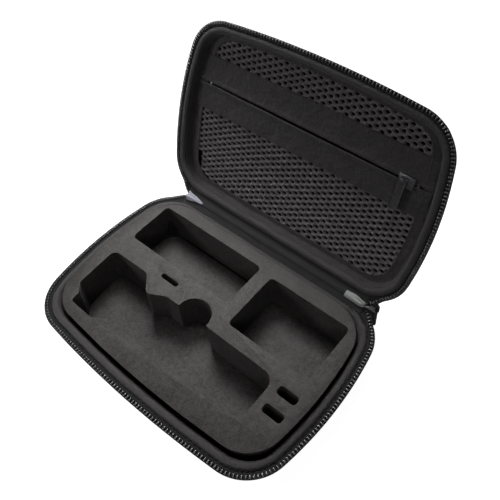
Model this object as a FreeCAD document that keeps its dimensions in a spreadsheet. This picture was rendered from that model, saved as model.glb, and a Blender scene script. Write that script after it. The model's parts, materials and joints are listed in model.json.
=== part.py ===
"""Zipped, moulded carry case with a die-cut foam insert and a mesh pocket in its lid.

Row frame, in millimetres: the origin is the middle of the underside, +X runs along the hinge,
+Y points back to the hinge and +Z is up. The lid's pieces are drawn shut, from an origin on the
hinge axis, and each is then turned open by LidAngle about that axis.
"""
import FreeCAD, Part
import math
import os
import Sketcher

SIZES = {
    # outline of the zip, seen from above: bowed ends and front, straight back
    "HalfLength": 88.1, "FrontReach": 61.4, "BackReach": 56.7,
    "CornerRadius": 26, "EndBowRadius": 212, "FrontBowRadius": 684,
    # depths of the two halves, measured from the plane where the zip closes
    "BaseDepth": 27.5, "LidDepth": 22, "BaseDraft": 11.5, "LidDraft": 12,
    "BaseEdgeRadius": 8, "LidEdgeRadius": 8.5,
    # insets from the zip outline
    "ShellInset": 4.2, "ShellWall": 2.6, "LiningWall": 0.6,
    "LipOuter": 3.4, "LipInner": 7.6, "LipGap": 0.15, "LipHeight": 1.5, "LipRound": 0.6,
    "TapeOuter": 0.4, "TapeWall": 0.6, "TapeSkirt": 7,
    "CoilWidth": 2.0, "CoilGap": 0.15, "ZipEnd": 75,
    # foam
    "FoamHalfLength": 79.6, "FoamFront": 51.8, "FoamBack": 48.9, "FoamCorner": 22,
    "FoamAbove": 2.3, "PocketDepth": 24, "FloorPad": 2.4, "FloorGap": 9, "FoamDraft": 12.5,
    # hinge
    "HingeBack": 58.5, "LidAngle": 111.5, "HingeHalf": 51, "LeafHalf": 62,
    "FoldRadius": 2.1, "LeafGap": 1.6, "TabLength": 16, "TabRadius": 1.9, "TabGap": 0.25,
    # mesh pocket in the lid
    "PanelRecess": 6.5, "PanelWall": 0.8, "PanelGap": 1.6, "MeshHalf": 73.5,
    "MeshFront": 50.0, "MeshBack": 44.5, "MeshCorner": 14,
    "BandFront": 33.5, "BandBack": 2.2, "ZipLine": 17.8, "PocketCoil": 1.1,
    "PocketCoilHeight": 0.8, "SlitHalf": 0.4, "TapeSlitHalf": 0.5, "PocketZipEnd": 69,
    "StopLength": 1.5, "StopHalf": 1.6,
    # pocket slider and its pull
    "SliderX": 63.5, "SliderLength": 9, "SliderWidth": 6.6, "PlateWall": 0.9, "PlatePlay": 0.2,
    "WebAhead": 1, "WebLength": 2.5, "WebWall": 0.6, "PivotBehind": 1.7,
    "PullLength": 17, "PullWidth": 4.6, "PullWall": 0.9, "PullHeel": 2.2, "PullRound": 1.5,
    "EyeRadius": 1.1, "PinRadius": 0.8, "PinHeadRadius": 1.5, "PinHead": 0.4, "PullPlay": 0.25,
    # main slider, parked at the right end of the hinge: plates each side of the hinge axis
    "MainSliderX": 71, "MainSliderLength": 8, "MainSliderHalf": 2.6, "MainPlateWall": 1.1,
    "MainOuterGap": 1.5, "MainInnerGap": 1.5, "MainWebLength": 3.4, "MainWebHalf": 1.2,
    "MainPullLength": 20, "MainPullWidth": 5.4, "MainPullHeel": 2.4,
}

# pockets cut through the foam: middle x, middle y, length, width, corner radius
RECTANGULAR_POCKETS = {
    "ChargerPocket": (-31.6, 26.2, 77.4, 30.4, 3.0),
    "AdapterPocket": (43.0, 20.7, 54.0, 38.0, 2.6),
    "CableSlot": (-29.3, 2.3, 13.0, 3.2, 1.55),
    "CardSlotBack": (66.7, -10.5, 12.0, 5.2, 1.8),
    "CardSlotFront": (66.7, -22.2, 12.0, 5.2, 1.8),
}
# the camera-shaped pocket, anticlockwise: x, y and the radius of each corner
CAMERA_POCKET = [
    (56.2, -36.6, 8.0), (56.2, -7.0, 7.0), (7.6, -7.0, 1.2), (7.6, 4.3, 10.2), (-13.1, 4.3, 10.2),
    (-13.1, -6.8, 1.0), (-22.5, -6.8, 6.0), (-34.0, -12.9, 3.6), (-43.5, -2.4, 6.0),
    (-71.3, -3.0, 4.5), (-70.0, -31.0, 2.5), (-64.9, -36.0, 2.0), (-64.3, -42.4, 1.8),
    (-46.5, -42.8, 3.0), (-39.0, -37.6, 5.0),
]

doc = FreeCAD.newDocument("CarryCase")
sheet = doc.addObject("Spreadsheet::Sheet", "Sizes")
for row, (word, value) in enumerate(SIZES.items(), start=1):
    sheet.set(f"A{row}", word)
    sheet.set(f"B{row}", str(value))
    sheet.setAlias(f"B{row}", word)
doc.recompute()

nodes = []


def value_of(text):
    """The number that an expression in the sheet's words stands for."""
    return float(sheet.evalExpression(text.replace("Sizes.", "")))


def name_node(thing, label, on_lid):
    """Give a finished piece its name, and open it with the lid if it belongs there."""
    thing.Label = label
    if on_lid:
        opened = FreeCAD.Rotation(FreeCAD.Vector(-1, 0, 0), value_of("Sizes.LidAngle"))
        thing.Placement = FreeCAD.Placement(FreeCAD.Vector(), opened)
        thing.setExpression("Placement.Rotation.Angle", "Sizes.LidAngle")
        thing.setExpression("Placement.Base.y", "Sizes.HingeBack")
        thing.setExpression("Placement.Base.z", "Sizes.BaseDepth")
    nodes.append(thing)


def new_body(name):
    return doc.addObject("PartDesign::Body", name)


def new_sketch(body, name, height, on_lid, plane="XY_Plane"):
    """A sketch at a height; on the lid, y=0 is still the middle of the case, not the hinge."""
    sketch = body.newObject("Sketcher::SketchObject", name)
    origin_plane = next(f for f in body.Origin.OriginFeatures if f.Role == plane)
    sketch.AttachmentSupport = [(origin_plane, "")]
    sketch.MapMode = "FlatFace"
    sketch.setExpression("AttachmentOffset.Base.z", height)
    if on_lid:
        sketch.setExpression("AttachmentOffset.Base.y", "-Sizes.HingeBack")
    return sketch


def bind(sketch, kind, ends, size):
    """Add a driving constraint whose value is an expression."""
    index = sketch.addConstraint(Sketcher.Constraint(kind, *ends, value_of(size)))
    sketch.setExpression(f"Constraints[{index}]", size)


def arc(centre, radius, start, end):
    circle = Part.Circle(FreeCAD.Vector(*centre, 0), FreeCAD.Vector(0, 0, 1), radius)
    return Part.ArcOfCircle(circle, start, end)


def bowed_outline(sketch, inset, half_length="Sizes.HalfLength", front="Sizes.FrontReach",
                  back="Sizes.BackReach", corner="Sizes.CornerRadius"):
    """The case's outline: straight back, bowed front and ends, round corners, all tangent."""
    size = [f"{word} - ({inset})" for word in
            (half_length, front, back, corner, "Sizes.EndBowRadius", "Sizes.FrontBowRadius")]
    reach, fore, aft, round_, end_bow, front_bow = [value_of(word) for word in size]
    end_x = reach - end_bow
    front_y = front_bow - fore
    back_x = end_x + math.sqrt((end_bow - round_) ** 2 - (aft - round_) ** 2)
    # the front corner's centre lies where two circles about the bow centres meet
    to_end, to_front = end_bow - round_, front_bow - round_
    apart = math.hypot(end_x, front_y)
    along = (to_end ** 2 - to_front ** 2 + apart ** 2) / (2 * apart)
    aside = math.sqrt(to_end ** 2 - along ** 2)
    unit_x, unit_y = -end_x / apart, front_y / apart
    corner_x = end_x + along * unit_x + aside * unit_y
    corner_y = along * unit_y - aside * unit_x
    rise = math.atan2(aft - round_, back_x - end_x)
    fall = math.atan2(-corner_y, corner_x - end_x)
    lean = math.atan2(corner_x, front_y - corner_y)
    half, full = math.pi / 2, math.pi
    sketch.addGeometry(Part.LineSegment(FreeCAD.Vector(back_x, aft, 0),
                                        FreeCAD.Vector(-back_x, aft, 0)))
    sketch.addGeometry(arc((-back_x, aft - round_), round_, half, full - rise))
    sketch.addGeometry(arc((-end_x, 0), end_bow, full - rise, full + fall))
    sketch.addGeometry(arc((-corner_x, corner_y), round_, full + fall, 3 * half - lean))
    sketch.addGeometry(arc((0, front_y), front_bow, 3 * half - lean, 3 * half + lean))
    sketch.addGeometry(arc((corner_x, corner_y), round_, 3 * half + lean, 2 * full - fall))
    sketch.addGeometry(arc((end_x, 0), end_bow, -fall, rise))
    sketch.addGeometry(arc((back_x, aft - round_), round_, rise, half))
    first = sketch.GeometryCount - 8
    for step in range(8):
        joint = (first + step, 2, first + (step + 1) % 8, 1)
        sketch.addConstraint(Sketcher.Constraint("Tangent", *joint))
    sketch.addConstraint(Sketcher.Constraint("Horizontal", first))
    for step in (1, 3, 5, 7):
        bind(sketch, "Radius", (first + step,), size[3])
    for step in (2, 6):
        bind(sketch, "Radius", (first + step,), size[4])
        sketch.addConstraint(Sketcher.Constraint("PointOnObject", first + step, 3, -1))
    bind(sketch, "Radius", (first + 4,), size[5])
    sketch.addConstraint(Sketcher.Constraint("PointOnObject", first + 4, 3, -2))
    bind(sketch, "DistanceX", (-1, 1, first + 2, 3), f"({size[4]}) - ({size[0]})")
    bind(sketch, "DistanceX", (first + 6, 3, -1, 1), f"({size[4]}) - ({size[0]})")
    bind(sketch, "DistanceY", (-1, 1, first + 4, 3), f"({size[5]}) - ({size[1]})")
    bind(sketch, "DistanceY", (-1, 1, first, 1), size[2])


def rounded_path(sketch, corners):
    """A closed anticlockwise outline of straight sides and tangent corner arcs."""
    count = len(corners)
    trims = []
    for index, (x, y, radius) in enumerate(corners):
        here = FreeCAD.Vector(x, y, 0)
        before = FreeCAD.Vector(*corners[index - 1][:2], 0) - here
        after = FreeCAD.Vector(*corners[(index + 1) % count][:2], 0) - here
        before.normalize()
        after.normalize()
        half_turn = before.getAngle(after) / 2
        reach = radius / math.tan(half_turn)
        middle = (before + after).normalize()
        centre = here + middle * (radius / math.sin(half_turn))
        near = centre - middle * radius
        trims.append((here + before * reach, near, here + after * reach))
    for index, (start, near, end) in enumerate(trims):
        sketch.addGeometry(Part.Arc(start, near, end))
        sketch.addGeometry(Part.LineSegment(end, trims[(index + 1) % count][0]))


def rectangle(sketch, low_x, high_x, low_y, high_y):
    """A plain rectangle whose sides are expressions."""
    x0, x1, y0, y1 = [value_of(word) for word in (low_x, high_x, low_y, high_y)]
    points = [FreeCAD.Vector(x0, y0, 0), FreeCAD.Vector(x1, y0, 0),
              FreeCAD.Vector(x1, y1, 0), FreeCAD.Vector(x0, y1, 0)]
    first = sketch.GeometryCount
    for index in range(4):
        sketch.addGeometry(Part.LineSegment(points[index], points[(index + 1) % 4]))
    for index in range(4):
        joint = (first + index, 2, first + (index + 1) % 4, 1)
        sketch.addConstraint(Sketcher.Constraint("Coincident", *joint))
    for index, way in enumerate(("Horizontal", "Vertical", "Horizontal", "Vertical")):
        sketch.addConstraint(Sketcher.Constraint(way, first + index))
    bind(sketch, "DistanceX", (-1, 1, first, 1), low_x)
    bind(sketch, "DistanceX", (-1, 1, first, 2), high_x)
    bind(sketch, "DistanceY", (-1, 1, first, 1), low_y)
    bind(sketch, "DistanceY", (-1, 1, first + 2, 1), high_y)


def pad(body, sketch, length, down=False, draft=None):
    """Add material from a sketch; a draft narrows it as it goes."""
    feature = body.newObject("PartDesign::Pad", sketch.Name + "Pad")
    feature.Profile = sketch
    feature.setExpression("Length", length)
    feature.Reversed = down
    if draft:
        feature.setExpression("TaperAngle", f"-({draft})")
    doc.recompute()
    return feature


def pocket(body, sketch, length, up=False, draft=None):
    """Cut material away below a sketch, or above it."""
    feature = body.newObject("PartDesign::Pocket", sketch.Name + "Cut")
    feature.Profile = sketch
    feature.setExpression("Length", length)
    feature.Reversed = up
    if draft:
        feature.setExpression("TaperAngle", f"-({draft})")
    doc.recompute()
    return feature


def round_edges(body, base, height, radius):
    """Fillet every edge of a feature that lies flat at one height."""
    doc.recompute()
    level = value_of(height)
    names = [f"Edge{number}" for number, edge in enumerate(base.Shape.Edges, start=1)
             if abs(edge.BoundBox.ZMin - level) < 1e-4 and abs(edge.BoundBox.ZMax - level) < 1e-4]
    feature = body.newObject("PartDesign::Fillet", base.Name + "Round")
    feature.Base = (base, names)
    feature.setExpression("Radius", radius)
    doc.recompute()
    return feature


def plug(name, inset, rim, depth, draft, edge, on_lid):
    """A solid with drafted sides and a round far edge, running away from the zip plane."""
    body = new_body(name)
    plan = new_sketch(body, name + "Plan", rim, on_lid)
    bowed_outline(plan, inset)
    solid = pad(body, plan, depth, down=not on_lid, draft=draft)
    far = f"({rim}) + ({depth})" if on_lid else f"({rim}) - ({depth})"
    round_edges(body, solid, far, edge)
    return body


def tub(label, inset, wall, rim_depth, depth, draft, edge, on_lid):
    """An open tray: one plug cut from another. On the lid it opens downwards."""
    rim = rim_depth if on_lid else f"Sizes.BaseDepth - ({rim_depth})"
    outside = plug(label + "Outside", inset, rim, depth, draft, edge, on_lid)
    inside = plug(label + "Inside", f"{inset} + {wall}", rim, f"{depth} - {wall}", draft,
                  f"{edge} - {wall}", on_lid)
    tray = doc.addObject("Part::Cut", label)
    tray.Base = outside
    tray.Tool = inside
    name_node(tray, label, on_lid)


def zip_band(label, outer, inner, low, height, on_lid):
    """A band that follows the case's outline, cut away across the hinge."""
    body = new_body(label)
    plan = new_sketch(body, label + "Plan", low, on_lid)
    bowed_outline(plan, outer)
    bowed_outline(plan, inner)
    pad(body, plan, height)
    gap = new_sketch(body, label + "Gap", low, on_lid)
    rectangle(gap, "-Sizes.ZipEnd", "Sizes.ZipEnd", "0", "Sizes.HingeBack")
    pocket(body, gap, f"2 * ({height})", up=True)
    name_node(body, label, on_lid)


def slab(label, sides, low, height, on_lid):
    """A flat rectangular strip."""
    body = new_body(label)
    plan = new_sketch(body, label + "Plan", low, on_lid)
    rectangle(plan, *sides)
    pad(body, plan, height)
    name_node(body, label, on_lid)


def flip(low, height, on_lid):
    """Heights above the zip plane on the lid mirror the depths below it on the base."""
    if on_lid:
        return low
    return f"Sizes.BaseDepth - ({low}) - ({height})"


def shell_and_lining(side, depth, draft, edge, on_lid):
    rim = "Sizes.LipGap + Sizes.LipHeight"
    height = f"{depth} - Sizes.LipGap - Sizes.LipHeight"
    tub(f"{side}_shell", "Sizes.ShellInset", "Sizes.ShellWall", rim, height, draft, edge, on_lid)
    tub(f"{side}_lining", "Sizes.ShellInset + Sizes.ShellWall", "Sizes.LiningWall", rim,
        f"{height} - Sizes.ShellWall", draft, f"{edge} - Sizes.ShellWall", on_lid)


def rim_lip(side, on_lid):
    """The padded roll of lining that finishes the shell's edge."""
    body = new_body(f"{side}_rim_lip")
    low = flip("Sizes.LipGap", "Sizes.LipHeight", on_lid)
    plan = new_sketch(body, body.Name + "Plan", low, on_lid)
    bowed_outline(plan, "Sizes.LipOuter")
    bowed_outline(plan, "Sizes.LipInner")
    solid = pad(body, plan, "Sizes.LipHeight")
    meeting = low if on_lid else f"({low}) + Sizes.LipHeight"
    round_edges(body, solid, meeting, "Sizes.LipRound")
    name_node(body, f"{side}_rim_lip", on_lid)


def zip_half(side, on_lid):
    """Zip tape sewn round the outside of the shell, with half of the coil on its edge."""
    coil_height = "(Sizes.LipHeight - Sizes.CoilGap + Sizes.LipGap)"
    zip_band(f"{side}_zip_coil", "0", "Sizes.CoilWidth",
             flip("Sizes.CoilGap", coil_height, on_lid), coil_height, on_lid)
    tape_low = "Sizes.LipGap + Sizes.LipHeight"
    zip_band(f"{side}_zip_tape", "Sizes.TapeOuter", "Sizes.ShellInset",
             flip(tape_low, "Sizes.TapeWall", on_lid), "Sizes.TapeWall", on_lid)


def tape_skirt(side, draft, on_lid):
    """The sewn-down part of the zip tape, a band lying on the outside of the shell's wall."""
    body = new_body(f"{side}_tape_skirt")
    top = "Sizes.LipGap + Sizes.LipHeight + Sizes.TapeWall"
    rim = top if on_lid else f"Sizes.BaseDepth - ({top})"
    follow = f"tan({draft} * 1 deg) * Sizes.TapeWall"
    outside = new_sketch(body, body.Name + "Outside", rim, on_lid)
    bowed_outline(outside, f"Sizes.ShellInset - Sizes.TapeWall + {follow}")
    pad(body, outside, "Sizes.TapeSkirt", down=not on_lid, draft=draft)
    inside = new_sketch(body, body.Name + "Inside", rim, on_lid)
    bowed_outline(inside, f"Sizes.ShellInset + {follow}")
    pocket(body, inside, "Sizes.TapeSkirt", up=on_lid, draft=draft)
    name_node(body, f"{side}_tape_skirt", on_lid)


def foam_pieces():
    """The die-cut block, its pockets, and the thin pad under it that floors them."""
    body = new_body("foam_insert")
    top = "Sizes.BaseDepth + Sizes.FoamAbove"
    plan = new_sketch(body, "FoamPlan", top, False)
    bowed_outline(plan, "0", "Sizes.FoamHalfLength", "Sizes.FoamFront", "Sizes.FoamBack",
                  "Sizes.FoamCorner")
    pad(body, plan, "Sizes.PocketDepth", down=True, draft="Sizes.FoamDraft")
    cuts = new_sketch(body, "FoamCuts", top, False)
    for x, y, length, width, radius in RECTANGULAR_POCKETS.values():
        left, right = x - length / 2, x + length / 2
        near, far = y - width / 2, y + width / 2
        rounded_path(cuts, [(left, near, radius), (right, near, radius),
                            (right, far, radius), (left, far, radius)])
    rounded_path(cuts, CAMERA_POCKET)
    pocket(body, cuts, "2 * Sizes.PocketDepth")
    name_node(body, "foam_insert", False)

    floor = new_body("foam_floor")
    low = "Sizes.BaseDepth + Sizes.FoamAbove - Sizes.PocketDepth - Sizes.FloorPad"
    plan = new_sketch(floor, "FloorPlan", low, False)
    bowed_outline(plan, "Sizes.ShellInset + Sizes.ShellWall + Sizes.LiningWall"
                  " + Sizes.FloorGap")
    pad(floor, plan, "Sizes.FloorPad")
    name_node(floor, "foam_floor", False)


def hinge_pieces():
    """A cloth leaf on each half, the fold between them, and a pale tab at each end."""
    for side, on_lid in (("base", False), ("lid", True)):
        low = flip("Sizes.LipGap + Sizes.LipHeight", "Sizes.TapeWall", on_lid)
        slab(f"hinge_leaf_{side}", ("-Sizes.LeafHalf", "Sizes.LeafHalf",
             "Sizes.BackReach - Sizes.ShellInset", "Sizes.HingeBack - Sizes.LeafGap"),
             low, "Sizes.TapeWall", on_lid)
    fold = doc.addObject("Part::Cylinder", "hinge_fold")
    fold.Placement.Rotation = FreeCAD.Rotation(FreeCAD.Vector(0, 1, 0), 90)
    fold.setExpression("Radius", "Sizes.FoldRadius")
    fold.setExpression("Height", "2 * Sizes.HingeHalf")
    fold.setExpression("Placement.Base.x", "-Sizes.HingeHalf")
    fold.setExpression("Placement.Base.y", "Sizes.HingeBack")
    fold.setExpression("Placement.Base.z", "Sizes.BaseDepth")
    name_node(fold, "hinge_fold", False)
    for label, start in (("left", "-Sizes.HingeHalf - Sizes.TabLength"),
                         ("right", "Sizes.HingeHalf")):
        tab = doc.addObject("Part::Cylinder", f"hinge_tab_{label}")
        tab.Placement.Rotation = FreeCAD.Rotation(FreeCAD.Vector(0, 1, 0), 90)
        tab.setExpression("Radius", "Sizes.TabRadius")
        tab.setExpression("Height", "Sizes.TabLength - 2 * Sizes.TabGap")
        tab.setExpression("Placement.Base.x", f"{start} + Sizes.TabGap")
        tab.setExpression("Placement.Base.y", "Sizes.HingeBack")
        tab.setExpression("Placement.Base.z", "Sizes.BaseDepth")
        name_node(tab, f"hinge_tab_{label}", False)


def pocket_panel():
    """The mesh pocket: a cloth border, two mesh fields, and a zip band between them."""
    low, high = "Sizes.PanelRecess", "Sizes.PanelWall"
    lining = "Sizes.ShellInset + Sizes.ShellWall + Sizes.LiningWall + Sizes.PanelGap"
    body = new_body("pocket_border")
    plan = new_sketch(body, "BorderPlan", low, True)
    bowed_outline(plan, lining)
    bowed_outline(plan, "0", "Sizes.MeshHalf", "Sizes.MeshFront", "Sizes.MeshBack",
                  "Sizes.MeshCorner")
    pad(body, plan, high)
    name_node(body, "pocket_border", True)
    fields = {
        "pocket_mesh_upper": ("-Sizes.HingeBack", "-Sizes.BandFront"),
        "pocket_tape_upper": ("-Sizes.BandFront", "-Sizes.ZipLine - Sizes.TapeSlitHalf"),
        "pocket_tape_lower": ("-Sizes.ZipLine + Sizes.TapeSlitHalf", "-Sizes.BandBack"),
        "pocket_mesh_lower": ("-Sizes.BandBack", "Sizes.HingeBack"),
    }
    beyond = "2 * Sizes.HalfLength"
    for label, (near, far) in fields.items():
        body = new_body(label)
        plan = new_sketch(body, label + "Plan", low, True)
        bowed_outline(plan, "0", "Sizes.MeshHalf", "Sizes.MeshFront", "Sizes.MeshBack",
                      "Sizes.MeshCorner")
        pad(body, plan, high)
        for end, side in (((f"-{beyond}", near), "Near"), ((far, beyond), "Far")):
            trim = new_sketch(body, label + side, low, True)
            rectangle(trim, f"-{beyond}", beyond, *end)
            pocket(body, trim, f"2 * {high}", up=True)
        name_node(body, label, True)
    coil_low = "Sizes.PanelRecess - Sizes.PocketCoilHeight"
    for label, near, far in (
            ("upper", "-Sizes.ZipLine - Sizes.SlitHalf - Sizes.PocketCoil",
             "-Sizes.ZipLine - Sizes.SlitHalf"),
            ("lower", "-Sizes.ZipLine + Sizes.SlitHalf",
             "-Sizes.ZipLine + Sizes.SlitHalf + Sizes.PocketCoil")):
        slab(f"pocket_coil_{label}", ("-Sizes.PocketZipEnd", "Sizes.PocketZipEnd", near, far),
             coil_low, "Sizes.PocketCoilHeight", True)
    for label, near, far in (
            ("left", "-Sizes.PocketZipEnd - Sizes.StopLength", "-Sizes.PocketZipEnd"),
            ("right", "Sizes.PocketZipEnd", "Sizes.PocketZipEnd + Sizes.StopLength")):
        slab(f"pocket_stop_{label}",
             (near, far, "-Sizes.ZipLine - Sizes.StopHalf", "-Sizes.ZipLine + Sizes.StopHalf"),
             coil_low, "Sizes.PocketCoilHeight", True)


def block(name, low, size):
    """A box whose low corner and size are expressions."""
    box = doc.addObject("Part::Box", name)
    for word, text in zip("xyz", low):
        box.setExpression(f"Placement.Base.{word}", text)
    for word, text in zip(("Length", "Width", "Height"), size):
        box.setExpression(word, text)
    return box


def fuse(label, pieces, on_lid):
    whole = doc.addObject("Part::MultiFuse", label)
    whole.Shapes = pieces
    whole.Refine = True
    name_node(whole, label, on_lid)


def pin(name, radius, height, base, turn=None):
    """A round pin; without a turn it stands along Z."""
    post = doc.addObject("Part::Cylinder", name)
    if turn:
        post.Placement.Rotation = FreeCAD.Rotation(*turn)
    post.setExpression("Radius", radius)
    post.setExpression("Height", height)
    for word, text in zip("xyz", base):
        post.setExpression(f"Placement.Base.{word}", text)
    return post


def pocket_slider():
    """Two plates joined by a web that runs in the slit between the coils, and a headed pin."""
    line = "-Sizes.ZipLine - Sizes.HingeBack"
    front = "Sizes.PanelRecess - Sizes.PocketCoilHeight - Sizes.PlatePlay - Sizes.PlateWall"
    back = "Sizes.PanelRecess + Sizes.PanelWall + Sizes.PlatePlay"
    half = "Sizes.SliderWidth / 2"
    left = "Sizes.SliderX - Sizes.SliderLength / 2"
    plate = ("Sizes.SliderLength", "Sizes.SliderWidth", "Sizes.PlateWall")
    pin_length = "Sizes.PullWall + 2 * Sizes.PullPlay"
    pivot = ("Sizes.SliderX - Sizes.PivotBehind", line)
    pieces = [
        block("SliderFront", (left, f"{line} - {half}", front), plate),
        block("SliderBack", (left, f"{line} - {half}", back), plate),
        block("SliderWeb", ("Sizes.SliderX + Sizes.WebAhead", f"{line} - Sizes.WebWall / 2", front),
              ("Sizes.WebLength", "Sizes.WebWall", f"({back}) - ({front}) + Sizes.PlateWall")),
        pin("SliderPin", "Sizes.PinRadius", f"{pin_length} + Sizes.PlateWall / 2",
            (*pivot, f"{front} - ({pin_length})")),
        pin("SliderPinHead", "Sizes.PinHeadRadius", "Sizes.PinHead",
            (*pivot, f"{front} - ({pin_length}) - Sizes.PinHead")),
    ]
    fuse("pocket_slider", pieces, True)


def pull_tab(label, pivot_x, pivot_y, sides, height, on_lid, plane="XY_Plane"):
    """A flat tab with a round eye that turns on its slider's pin."""
    body = new_body(label)
    plan = new_sketch(body, label + "Plan", height, on_lid, plane)
    x, y = value_of(pivot_x), value_of(pivot_y)
    low_x, high_x = x - value_of(sides[0]) / 2, x + value_of(sides[0]) / 2
    low_y, high_y = y + value_of(sides[1]), y + value_of(sides[2])
    turn = value_of("Sizes.PullRound")
    rounded_path(plan, [(low_x, low_y, turn), (high_x, low_y, turn),
                        (high_x, high_y, turn), (low_x, high_y, turn)])
    eye = plan.GeometryCount
    plan.addGeometry(Part.Circle(FreeCAD.Vector(x, y, 0), FreeCAD.Vector(0, 0, 1),
                                 value_of("Sizes.EyeRadius")))
    bind(plan, "Radius", (eye,), "Sizes.EyeRadius")
    pad(body, plan, "Sizes.PullWall")
    name_node(body, label, on_lid)


def pocket_pull():
    height = ("Sizes.PanelRecess - Sizes.PocketCoilHeight - Sizes.PlatePlay - Sizes.PlateWall"
              " - Sizes.PullPlay - Sizes.PullWall")
    pull_tab("pocket_pull", "Sizes.SliderX - Sizes.PivotBehind", "-Sizes.ZipLine",
             ("Sizes.PullWidth", "-Sizes.PullHeel", "Sizes.PullLength"), height, True)


def main_slider():
    """The case's own zip slider, parked on the hinge axis, with its pull hanging behind."""
    left = "Sizes.MainSliderX - Sizes.MainSliderLength / 2"
    low = "Sizes.BaseDepth - Sizes.MainSliderHalf"
    tall = "2 * Sizes.MainSliderHalf"
    outer = "Sizes.HingeBack + Sizes.MainOuterGap"
    inner = "Sizes.HingeBack - Sizes.MainInnerGap - Sizes.MainPlateWall"
    plate = ("Sizes.MainSliderLength", "Sizes.MainPlateWall", tall)
    backwards = (FreeCAD.Vector(1, 0, 0), -90)
    pin_length = "Sizes.PullWall + 2 * Sizes.PullPlay"
    pieces = [
        block("MainOuter", (left, outer, low), plate),
        block("MainInner", (left, inner, low), plate),
        block("MainWeb", ("Sizes.MainSliderX - Sizes.WebAhead", inner,
                          "Sizes.BaseDepth - Sizes.MainWebHalf"),
              ("Sizes.MainWebLength", f"{outer} - ({inner}) + Sizes.MainPlateWall",
               "2 * Sizes.MainWebHalf")),
        pin("MainPin", "Sizes.PinRadius", f"{pin_length} + Sizes.MainPlateWall / 2",
            ("Sizes.MainSliderX", f"{outer} + Sizes.MainPlateWall / 2", "Sizes.BaseDepth"),
            backwards),
        pin("MainPinHead", "Sizes.PinHeadRadius", "Sizes.PinHead",
            ("Sizes.MainSliderX", f"{outer} + Sizes.MainPlateWall + {pin_length}",
             "Sizes.BaseDepth"), backwards),
    ]
    fuse("main_slider", pieces, False)
    pull_tab("main_pull", "Sizes.MainSliderX", "Sizes.BaseDepth",
             ("Sizes.MainPullWidth", "-Sizes.MainPullLength", "Sizes.MainPullHeel"),
             f"-({outer} + Sizes.MainPlateWall + Sizes.PullPlay + Sizes.PullWall)", False,
             "XZ_Plane")


for half_of, depth_word, draft_word, edge_word, opens in (
        ("base", "Sizes.BaseDepth", "Sizes.BaseDraft", "Sizes.BaseEdgeRadius", False),
        ("lid", "Sizes.LidDepth", "Sizes.LidDraft", "Sizes.LidEdgeRadius", True)):
    shell_and_lining(half_of, depth_word, draft_word, edge_word, opens)
    rim_lip(half_of, opens)
    zip_half(half_of, opens)
    tape_skirt(half_of, draft_word, opens)
foam_pieces()
hinge_pieces()
pocket_panel()
pocket_slider()
pocket_pull()
main_slider()

doc.recompute()
broken = [thing.Name for thing in doc.Objects if {"Invalid", "Error"} & set(thing.State)]
broken += [node.Label for node in nodes if node.Shape.isNull() or not node.Shape.isValid()]
if broken:
    raise SystemExit(f"failed pieces: {broken}")

os.makedirs("parts", exist_ok=True)
for node in nodes:
    node.Shape.exportStep(f"parts/{node.Label}.step")
    print(f"{node.Label:22s} solids {len(node.Shape.Solids)} volume {node.Shape.Volume:10.1f}")
print(len(nodes), "nodes written")
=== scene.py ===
"""Looks of a zipped, moulded carry case that stands open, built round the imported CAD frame.

Shapes are worked out in millimetres, from sizes read off the frame. A place on the case is given
by its inset from the zip's outline and its depth from the plane where the zip closes, so that the
same code makes the base's pieces and the lid's.
"""
import json
import math

import bmesh
import bpy
import numpy as np
from mathutils import Matrix, Vector


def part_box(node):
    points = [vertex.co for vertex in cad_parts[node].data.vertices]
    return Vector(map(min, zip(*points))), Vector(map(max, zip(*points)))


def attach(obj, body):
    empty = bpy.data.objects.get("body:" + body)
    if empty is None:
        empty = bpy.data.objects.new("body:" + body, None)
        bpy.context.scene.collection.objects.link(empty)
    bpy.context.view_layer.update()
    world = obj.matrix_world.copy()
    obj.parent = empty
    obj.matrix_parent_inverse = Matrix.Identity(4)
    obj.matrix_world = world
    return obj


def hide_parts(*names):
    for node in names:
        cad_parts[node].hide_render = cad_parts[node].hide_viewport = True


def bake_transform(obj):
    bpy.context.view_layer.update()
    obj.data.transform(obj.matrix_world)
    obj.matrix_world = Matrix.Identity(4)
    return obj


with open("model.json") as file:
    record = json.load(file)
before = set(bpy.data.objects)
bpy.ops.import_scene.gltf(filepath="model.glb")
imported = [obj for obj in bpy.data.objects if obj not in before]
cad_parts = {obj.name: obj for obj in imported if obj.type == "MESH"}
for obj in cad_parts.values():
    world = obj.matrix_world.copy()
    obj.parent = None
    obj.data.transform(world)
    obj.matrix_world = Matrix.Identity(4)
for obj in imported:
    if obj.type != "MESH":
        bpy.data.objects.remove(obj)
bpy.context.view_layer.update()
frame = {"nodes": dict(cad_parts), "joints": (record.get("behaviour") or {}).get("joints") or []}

MM = 0.001
joints = {joint["name"]: joint for joint in frame["joints"]}
HINGE_Y, ZIP_Z = [value / MM for value in joints["lid_hinge"]["pos_m"][1:]]
OPEN = -math.radians(joints["lid_hinge"]["range_deg"][0])

# outline of the zip, as in the CAD: the lip's box lies LIP_OUTER inside it
LIP_OUTER = 3.4
lip_low, lip_high = [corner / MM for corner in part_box("base_rim_lip")]
CASE = {"half_length": lip_high.x + LIP_OUTER, "front": LIP_OUTER - lip_low.y,
        "back": lip_high.y + LIP_OUTER, "corner": 26.0}
END_BOW, FRONT_BOW = 212.0, 684.0  # radii of the outline's ends and front

# the lid's pocket: its net's edge, its depth, and where its zip and bands run when it is shut
NET_EDGE = {"half_length": 73.5, "front": 50.0, "back": 44.5, "corner": 14.0}
NET_LENGTH, BAND_LENGTH = 154.0, 157.0
PANEL_DEPTH = 6.5
ZIP_LINE, BAND_FRONT, BAND_BACK = -17.8, -33.5, -2.2
NET_OVERLAP = 1.2  # how far the nets and bands reach under or over each other

ZIP_END = 65.5  # the main zip ends this far from the middle of the hinge
DRAFT = {"base": math.radians(11.5), "lid": math.radians(12)}


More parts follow.
